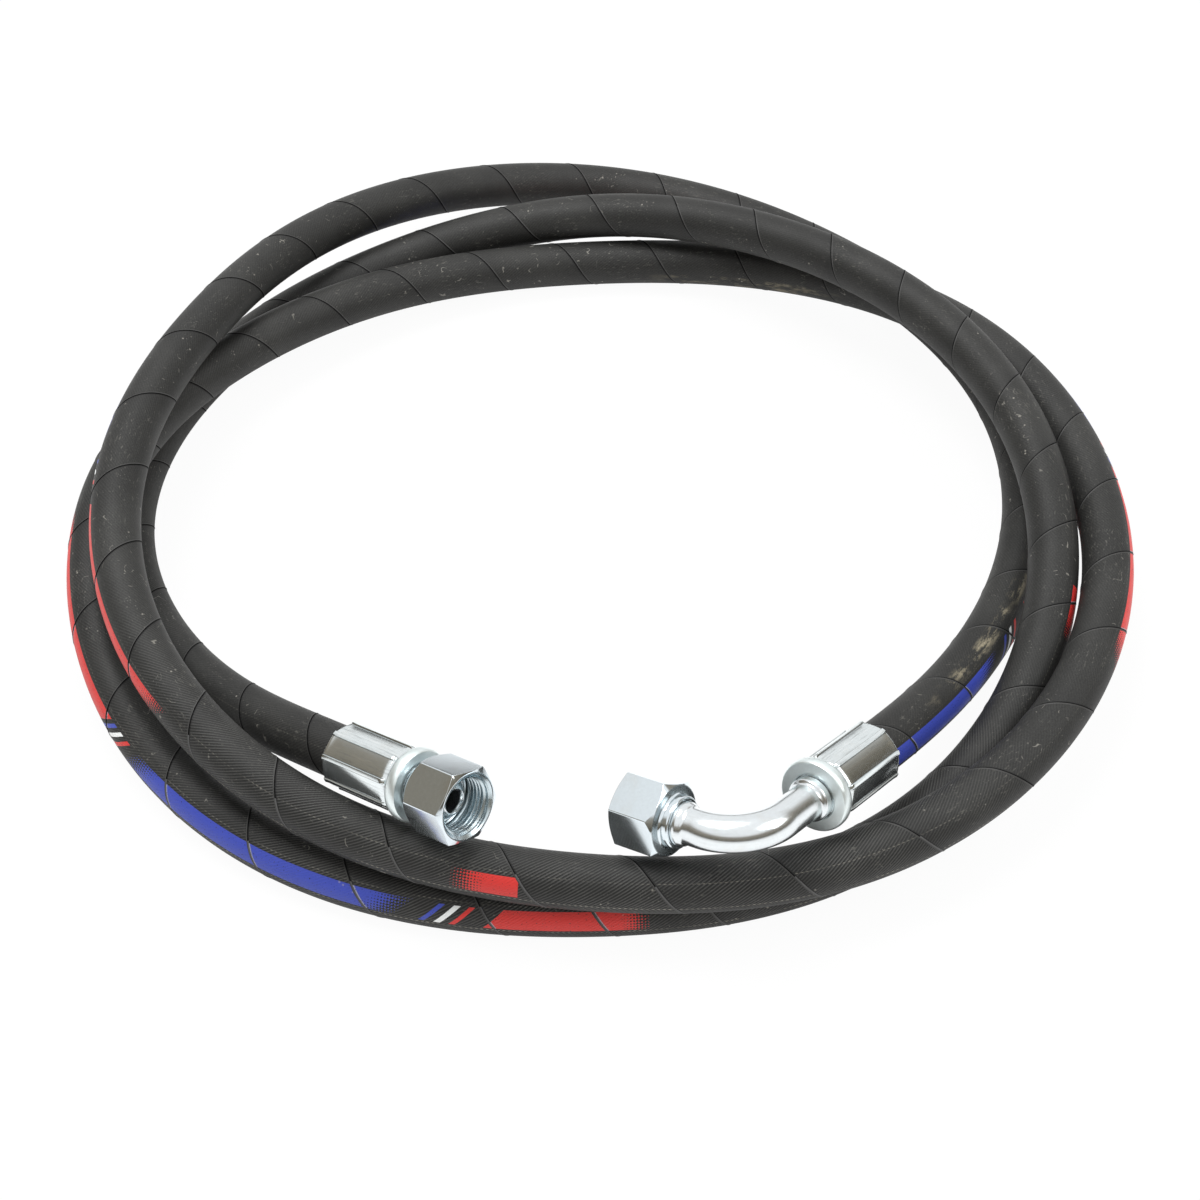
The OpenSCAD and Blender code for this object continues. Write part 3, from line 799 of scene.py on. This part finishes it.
def nut(name, basis, mouth, node, body):
    """Swivel nut: chamfered hexagon, turned skirt behind, cone for the ball nose and bore in front."""
    angles, hex_r = hexagon(NUT_FLATS, NUT_CORNER_R)
    back = mouth - NUT_LENGTH
    # Where the front and rear cones cut each corner and flat, and how far the cut's edge is broken
    front_t = mouth - (hex_r - 11.6) * (1.1 / 2.456)
    rear_t = back + (hex_r - 11.8) * (2.2 / 2.256)
    e = 0.10
    loop = [(mouth - 0.06, 11.0), (mouth, 11.12), (mouth, 11.5), (mouth - 0.05, 11.66)]
    loop += [(front_t + e * 0.45, hex_r - e), (front_t - 0.02, hex_r - 0.02), (front_t - e * 1.2, hex_r)]
    loop += [(rear_t + e * 1.2, hex_r), (rear_t + 0.02, hex_r - 0.02), (rear_t - e, hex_r - e)]
    skirt = back - SKIRT
    loop += [(back + 0.15, 11.92), (back, 11.75), (back - 0.02, 11.3), (back - 0.05, 9.9), (back - 0.2, 9.35)]
    loop += [(back - 0.6, 9.05), (back - 1.2, 8.95), (back - 2.7, 8.9)]
    loop += [(skirt + 0.35, 8.82), (skirt + 0.1, 8.62), (skirt, 8.3)]
    loop += [(skirt, 7.75), (skirt + 0.12, 7.58), (skirt + 0.35, 7.5)]
    seat = mouth - SEAT_FROM_MOUTH
    loop += [(seat, 7.48), (seat + 2.72, 10.2), (mouth - MOUTH_BORE, 10.2), (mouth - MOUTH_BORE + 0.05, 10.0)]
    loop += [(mouth - 1.0, 10.0)]

    def pick(t, r):
        inside = (t > seat - 1) & (t < mouth - 0.5) & (r < 10.6)
        # The rear face takes the darker zinc, a painted dark reflection
        rear_face = (t < back + 0.1) & (r > 9.5)
        return inside + 2 * rear_face

    materials = [ZINC_NUT, ZINC_THREAD, ZINC_DARK_REFLECTION]
    obj = turned(name, straight_line(basis), loop, angles, materials, body, smooth=34, pick=pick)
    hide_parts(node)
    return obj


def thread(name, basis, mouth, body):
    """Female metric thread: a helical ridge in the nut's bore that runs out at both ends."""
    per_turn = 56
    first, last = mouth - 0.75, mouth - 10.3
    n = int((first - last) / THREAD_PITCH * per_turn)
    k = np.arange(n)
    t0 = first - k * THREAD_PITCH / per_turn
    a = k * 2 * math.pi / per_turn
    run_out = per_turn * 0.55
    ease = np.clip(np.minimum(k / run_out, (n - 1 - k) / run_out), 0.02, 1)
    # The ridge's foot lies just under the bore's surface, which steps out behind the mouth and ends in a
    # chamfer
    root = np.where(t0 > mouth - MOUTH_BORE + 0.05, 10.03, 10.23)
    root = np.where(t0 > mouth - 1.0, 10.03 + (t0 - mouth + 1.0) * 0.9, root)
    crest = root - (root - THREAD_MINOR_R) * ease
    section = [
        (-0.66, root), (-0.22, crest + 0.03), (-0.12, crest),
        (0.12, crest), (0.22, crest + 0.03), (0.66, root),
    ]
    columns = len(section)
    at = straight_line(basis)
    rows = []
    for dt, r in section:
        c, e1, e2 = at(t0 + dt)
        rows.append(c + (r * np.cos(a))[:, None] * e1 + (r * np.sin(a))[:, None] * e2)
    verts = np.stack(rows, 1).reshape(-1, 3)
    faces = grid_faces(n, columns, close_cols=True)
    caps = [list(range(columns))[::-1], [(n - 1) * columns + j for j in range(columns)]]
    obj = new_mesh(name, verts, faces.tolist() + caps, ZINC_THREAD, 42)
    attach(obj, body)
    return obj


def nose(mouth):
    """Outline of the head and ball nose in front of the neck, out to the bore's rim and into the bore."""
    back, tip, ball_r, last = mouth - 13.8, mouth - 6.2, 8.2, 58
    out = [(back, 7.4), (back + 1.5, 8.9), (back + 3.0, 8.9), (back + 3.15, 8.5)]
    for a in range(16, last + 1, 6):
        c = math.radians(a)
        out.append((tip - ball_r * math.sin(math.radians(last)) + ball_r * math.sin(c), ball_r * math.cos(c)))
    out += [(mouth - 6.18, 4.28), (mouth - 6.25, 4.12), (mouth - 7.2, 3.66), (mouth - 7.7, BORE_R)]
    return out


def tail():
    """Outline of the tail in the hose and of the part that the ferrule is locked onto."""
    out = [(3.0, BORE_R), (3.0, 3.9), (4.0, 4.3)]
    for k in range(5):
        z = 5 + k * 4.4
        out += [(z, 4.3), (z + 3.3, 4.65), (z + 3.52, 4.3)]
    return out + [(INNER_STEP, 4.3), (INNER_STEP, 6.3), (FERRULE_LENGTH, 6.3)]


def straight_nipple():
    loop = tail() + [(FERRULE_LENGTH, 7.2), (FERRULE_LENGTH + 0.2, 7.4)] + nose(NUT_MOUTH)
    obj = turned("straight_nipple_body", straight_line(A), loop, even(72), ZINC, "hose")
    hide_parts("straight_nipple")
    return obj


def elbow_nipple():
    first, arc = CORNER - BEND, BEND * math.pi / 2
    # Distances on the second leg count from the corner, and this much more along the tube's own line
    shift = first + arc - BEND
    collar = [
        (0, 7.0), (0.2, 7.3), (0.4, 7.48), (0.6, 7.58), (0.8, 7.6), (2.5, 7.6), (2.8, 7.57),
        (3.1, 7.45), (3.3, 7.25), (3.45, 6.98), (3.6, 6.72), (3.85, 6.5), (4.2, 6.36), (4.7, 6.28),
    ]
    flare = [(-1.9, TUBE_R), (-1.2, 6.35), (-0.9, 6.6), (-0.55, 6.95), (0, 7.12), (0.3, 7.32), (0.6, 7.4)]
    flare_at = shift + ELBOW_NUT_MOUTH - NUT_LENGTH - SKIRT - 2.0
    loop = tail() + [(FERRULE_LENGTH + t, r) for t, r in collar] + [(t, TUBE_R) for t in (42.0, 46.0, 50.0)]
    loop += [(first + t * arc, TUBE_R) for t in np.linspace(0, 1, 41)]
    loop += [(flare_at + t, r) for t, r in flare]
    loop += [(shift + t, r) for t, r in nose(ELBOW_NUT_MOUTH)]
    loop += [(first + t * arc, BORE_R) for t in np.linspace(1, 0, 25)]
    obj = turned("elbow_nipple_body", bent_line(B_ROLLED, CORNER, BEND), loop, even(72), ZINC, "hose")
    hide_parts("elbow_nipple")
    return obj


fittings = [
    ferrule("straight_ferrule_shell", A_FERRULE, "straight_ferrule"),
    ferrule("elbow_ferrule_shell", B_FERRULE, "elbow_ferrule"),
    straight_nipple(),
    elbow_nipple(),
    nut("straight_nut_body", A_NUT, NUT_MOUTH, "straight_swivel_nut", "straight_nut"),
    nut("elbow_nut_body", B_NUT, ELBOW_NUT_MOUTH, "elbow_swivel_nut", "elbow_nut"),
    thread("straight_nut_thread", A_NUT, NUT_MOUTH, "straight_nut"),
    thread("elbow_nut_thread", B_NUT, ELBOW_NUT_MOUTH, "elbow_nut"),
]

(STRAIGHT_MOUTH * MM).tolist()
fittings + layers + [seam]


# ---------------------------------------------------------------- stage and light
# How white the floor is to rays from the camera, from gloss and through glass
FLOOR_WHITE = {"Is Camera Ray": 0.95, "Is Glossy Ray": 0.45, "Is Transmission Ray": 0.95}
FLOOR_HALF, FLOOR_Z = 12, -0.0003
FLOOR_CORNERS = [(-1, -1), (1, -1), (1, 1), (-1, 1)]


def stage():
    """A pale floor that shows nearly white to the camera and in reflections, and keeps part of the shadow."""
    m, tree, bsdf = new_material("floor")
    bsdf.inputs["Base Color"].default_value = (0.93, 0.93, 0.93, 1)
    bsdf.inputs["Roughness"].default_value = 0.9
    bsdf.inputs["Specular IOR Level"].default_value = 0.0
    path = tree.nodes.new("ShaderNodeLightPath")
    whiteness = all_of([Sock(tree, path.outputs[kind]) * white for kind, white in FLOOR_WHITE.items()])
    glow = tree.nodes.new("ShaderNodeEmission")
    both = tree.nodes.new("ShaderNodeMixShader")
    put(tree, both.inputs[0], whiteness)
    tree.links.new(bsdf.outputs[0], both.inputs[1])
    tree.links.new(glow.outputs[0], both.inputs[2])
    tree.links.new(both.outputs[0], tree.nodes["Material Output"].inputs["Surface"])
    mesh = bpy.data.meshes.new("floor")
    corners = [(x * FLOOR_HALF, y * FLOOR_HALF, FLOOR_Z) for x, y in FLOOR_CORNERS]
    mesh.from_pydata(corners, [], [(0, 1, 2, 3)])
    mesh.materials.append(m)
    floor = bpy.data.objects.new("floor", mesh)
    bpy.context.scene.collection.objects.link(floor)


def softbox(name, at, towards, size, watts):
    data = bpy.data.lights.new(name, "AREA")
    data.shape, data.size, data.size_y = "RECTANGLE", size[0], size[1]
    data.energy = watts
    lamp = bpy.data.objects.new(name, data)
    lamp.location = at
    lamp.rotation_euler = (Vector(towards) - Vector(at)).to_track_quat("-Z", "Y").to_euler()
    bpy.context.scene.collection.objects.link(lamp)


def lights():
    """White overhead, behind and at the horizon, warm grey low at the sides and in front, and two soft
    lamps."""
    world = bpy.data.worlds.new("studio")
    bpy.context.scene.world = world
    world.use_nodes = True
    tree = world.node_tree
    back = tree.nodes["Background"]
    n = tree.nodes.new("ShaderNodeTexCoord")
    s = tree.nodes.new("ShaderNodeSeparateXYZ")
    tree.links.new(n.outputs["Generated"], s.inputs[0])
    behind, height = Sock(tree, s.outputs["Y"]), Sock(tree, s.outputs["Z"])
    level = height.ramp(0.48, 0.64).most(behind.ramp(0.42, 0.78))
    # Pale down at the horizon, where other views see past the floor's far edge
    level = level.most(height.ramp(0.075, 0.095, 1.0, 0.0))
    low = mix(tree, (0.10, 0.085, 0.062), (0.27, 0.24, 0.195), height.ramp(0.16, 0.40))
    colour = mix(tree, low, (1.0, 1.0, 1.0), level)
    tree.links.new(colour.value, back.inputs["Color"])
    back.inputs["Strength"].default_value = 1.0
    aim = (0, -0.05, 0)
    softbox("key", (-0.45, 0.35, 1.85), aim, (1.0, 0.8), 24)
    softbox("fill", (1.3, -0.3, 1.3), aim, (0.9, 0.9), 9)


stage()
lights()
bpy.context.scene.view_settings.view_transform = "Standard"
